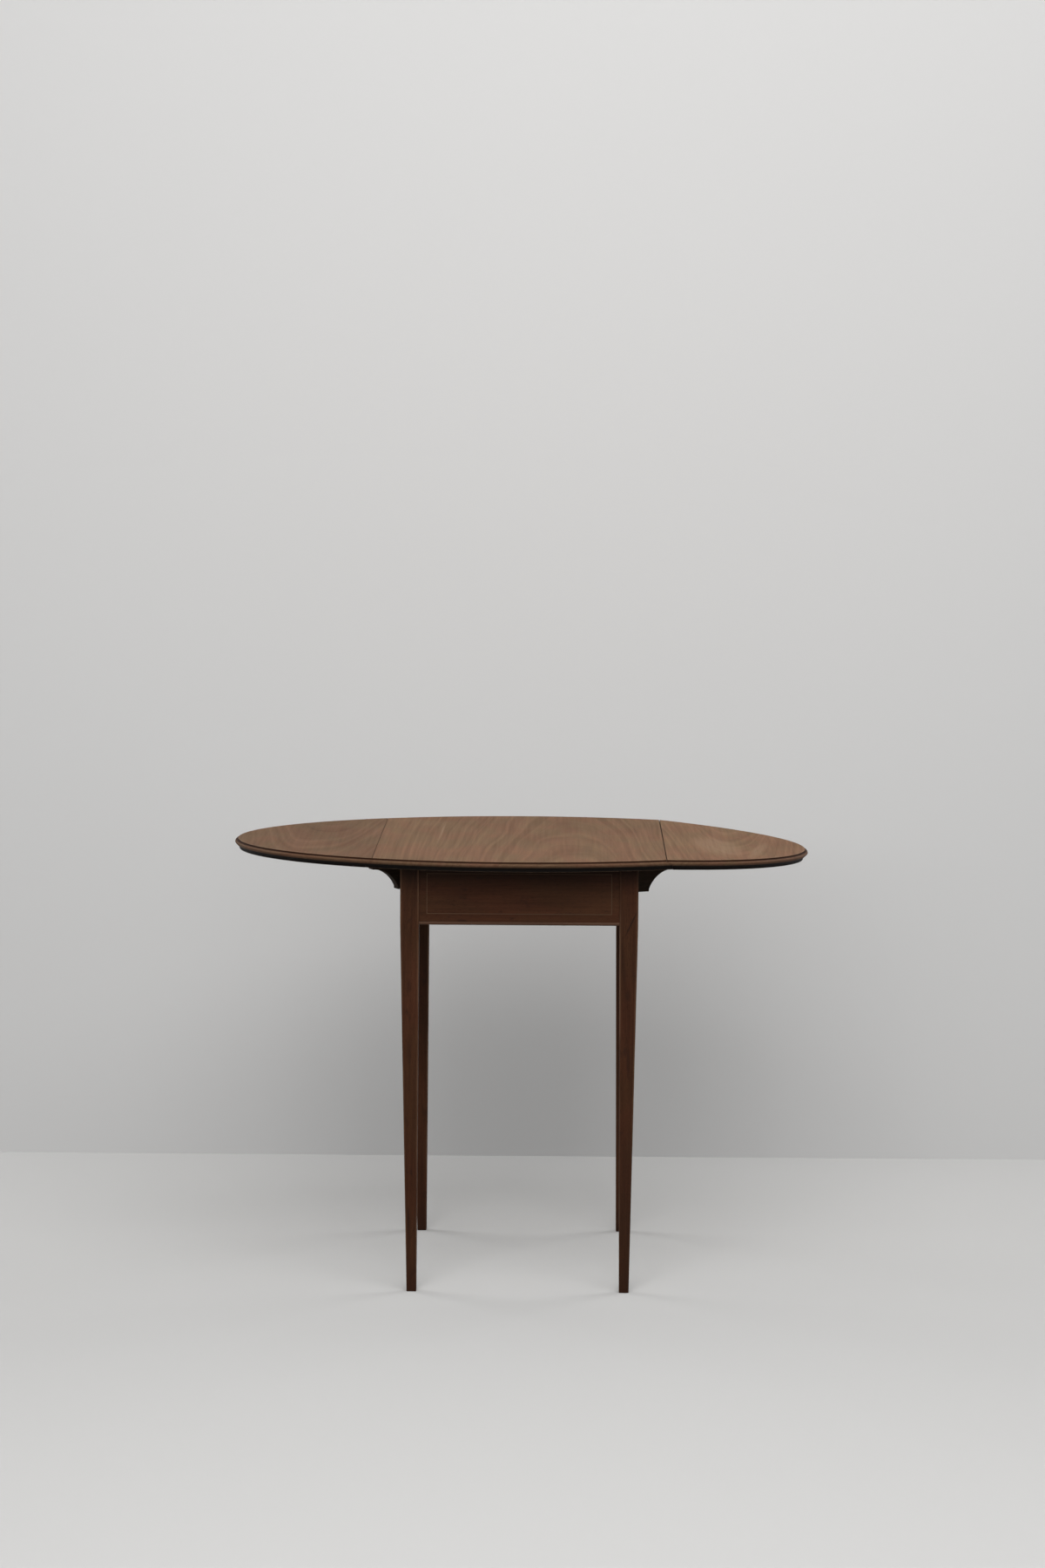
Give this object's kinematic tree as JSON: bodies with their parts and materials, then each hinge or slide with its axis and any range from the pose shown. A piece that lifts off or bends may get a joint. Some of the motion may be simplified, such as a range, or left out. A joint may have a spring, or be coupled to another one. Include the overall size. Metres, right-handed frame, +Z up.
{
  "type": "oval drop-leaf table",
  "caption": "Oval drop-leaf table on square tapered legs: leaves on rule joints, held up by swinging fly brackets, with an inlaid end rail and a moulded top edge.",
  "frame": {"origin": "on the floor, under the middle of the table", "axes": "+X towards the right leaf as seen from the front end, +Y towards the rear end, +Z up"},
  "size_m": [0.9461, 0.64, 0.71],
  "materials": {
    "top_wood": "faded, dry, matte mahogany",
    "frame_wood": "dark, matte mahogany with worn edges",
    "bead_wood": "lighter worn bead",
    "inlay_wood": "thin inlaid line, darkened to almost the colour of the rail",
    "secondary_wood": "plain, unpolished hardwood",
    "hinge_iron": "dark, dull iron",
    "screw_steel": "dulled steel"
  },
  "bodies": {
    "frame": {"top_centre": "top_wood", "leg_front_left": "frame_wood", "leg_front_right": "frame_wood", "leg_rear_left": "frame_wood", "leg_rear_right": "frame_wood", "end_rail_front": "frame_wood", "end_rail_rear": "frame_wood", "end_bead_front": "bead_wood", "end_bead_rear": "bead_wood", "end_stringing_front": "inlay_wood", "end_stringing_rear": "inlay_wood", "side_rail_left": "secondary_wood", "side_rail_right": "secondary_wood", "knuckle_block_left": "secondary_wood", "knuckle_block_right": "secondary_wood", "tip_block_left": "secondary_wood", "tip_block_right": "secondary_wood", "fly_pin_left": "screw_steel", "fly_pin_right": "screw_steel", "hinge_fixed_plates_left": "hinge_iron", "hinge_fixed_plates_right": "hinge_iron", "hinge_pins_left": "hinge_iron", "hinge_pins_right": "hinge_iron", "hinge_fixed_screws_left": "screw_steel", "hinge_fixed_screws_right": "screw_steel", "glue_blocks": "secondary_wood", "top_screws": "screw_steel"},
    "leaf_left": {"leaf_left": "top_wood", "hinge_leaf_plates_left": "hinge_iron", "hinge_leaf_screws_left": "screw_steel"},
    "leaf_right": {"leaf_right": "top_wood", "hinge_leaf_plates_right": "hinge_iron", "hinge_leaf_screws_right": "screw_steel"},
    "fly_left": {"fly_left": "secondary_wood"},
    "fly_right": {"fly_right": "secondary_wood"}
  },
  "joints": [
    {"name": "left_leaf_drop", "type": "hinge", "parent": "frame", "child": "leaf_left", "pos_m": [-0.2334, 0, 0.6962], "axis": [0, -1, 0], "range_deg": [0, 90]},
    {"name": "right_leaf_drop", "type": "hinge", "parent": "frame", "child": "leaf_right", "pos_m": [0.2334, 0, 0.6962], "axis": [0, 1, 0], "range_deg": [-3.4, 86.6]},
    {"name": "left_fly_fold", "type": "hinge", "parent": "frame", "child": "fly_left", "pos_m": [-0.179, 0.02, 0.66], "axis": [0, 0, 1], "range_deg": [-30, 60]},
    {"name": "right_fly_fold", "type": "hinge", "parent": "frame", "child": "fly_right", "pos_m": [0.179, -0.02, 0.66], "axis": [0, 0, 1], "range_deg": [-30, 60]}
  ],
  "couplings": [
    {"joint": "left_fly_fold", "follows": "left_leaf_drop", "ratio": 0.6666},
    {"joint": "right_fly_fold", "follows": "right_leaf_drop", "ratio": 0.6927}
  ]
}
